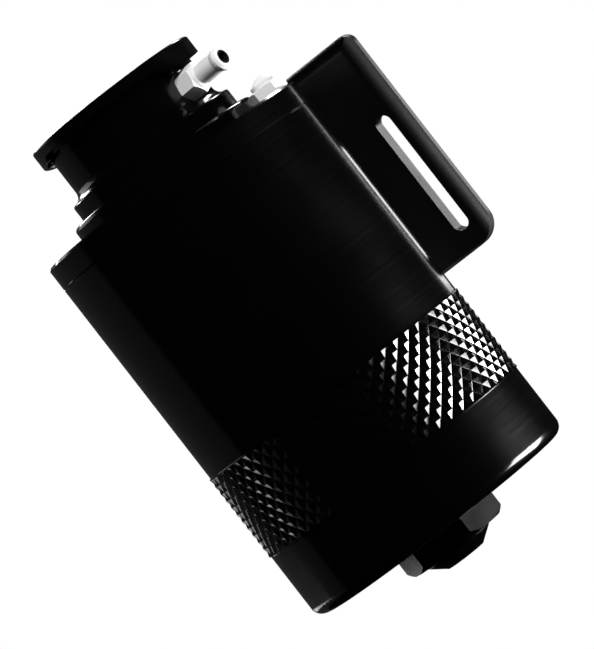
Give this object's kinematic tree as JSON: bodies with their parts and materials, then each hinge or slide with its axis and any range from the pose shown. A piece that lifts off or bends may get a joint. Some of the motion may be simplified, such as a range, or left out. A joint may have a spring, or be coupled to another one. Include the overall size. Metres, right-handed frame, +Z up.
{
  "type": "coolant expansion tank",
  "caption": "Knurled cylindrical aluminium coolant expansion tank with a bayonet pressure cap, hose fitting, vent plug, drain plug and slotted side bracket.",
  "frame": {"origin": "middle of the slot in the bracket's wing, in the plane of the bracket's flat back; the tank's axis lies 55.75 mm along -X and 51.8 mm along -Y, and the tank's flat bottom 94.7 mm below", "axes": "+Z up, parallel to the tank's axis and to the slot, towards the cap; +X from the tank out along the wing; +Y out of the bracket's flat back, away from the tank and into the vehicle's panel"},
  "size_m": [0.1153, 0.1031, 0.1915],
  "materials": {
    "black_anodised": "satin black anodised, fine turning marks",
    "bright_aluminium": "machined, bright",
    "steel": "plain stainless",
    "rubber": "matt"
  },
  "bodies": {
    "tank": {"tank_body": "black_anodised", "top_lid": "black_anodised", "lid_o_ring": "rubber", "filler_neck": "black_anodised", "neck_o_ring": "rubber", "overflow_fitting": "bright_aluminium", "vent_plug": "bright_aluminium", "drain_plug": "black_anodised", "plug_o_ring": "rubber", "mounting_bracket": "black_anodised", "bracket_screws": "steel"},
    "cap_core": {"cap_stem": "steel", "cap_diaphragm": "steel", "cap_gasket": "rubber", "spring_bell": "steel", "pressure_spring": "steel"},
    "cap": {"cap_shell": "black_anodised"},
    "pressure_valve": {"valve_plate": "steel", "valve_seal": "rubber", "vacuum_spring": "steel"},
    "vacuum_valve": {"vacuum_valve": "steel", "vacuum_seal": "rubber", "vacuum_collar": "steel"}
  },
  "joints": [
    {"name": "cap_lift", "type": "slide", "parent": "tank", "child": "cap_core", "axis": [0, 0, 1], "range_m": [0, 0.03]},
    {"name": "cap_turn", "type": "hinge", "parent": "cap_core", "child": "cap", "pos_m": [-0.05575, -0.0518, 0.0796], "axis": [0, 0, 1], "range_deg": [0, 90]},
    {"name": "pressure_relief", "type": "slide", "parent": "cap_core", "child": "pressure_valve", "axis": [0, 0, 1], "range_m": [0, 0.0025], "stiffness_N_per_m": 12000, "springref_m": -0.008, "deforming": ["pressure_spring"]},
    {"name": "vacuum_relief", "type": "slide", "parent": "pressure_valve", "child": "vacuum_valve", "axis": [0, 0, -1], "range_m": [0, 0.0015], "stiffness_N_per_m": 60, "springref_m": -0.004, "deforming": ["vacuum_spring"]}
  ]
}
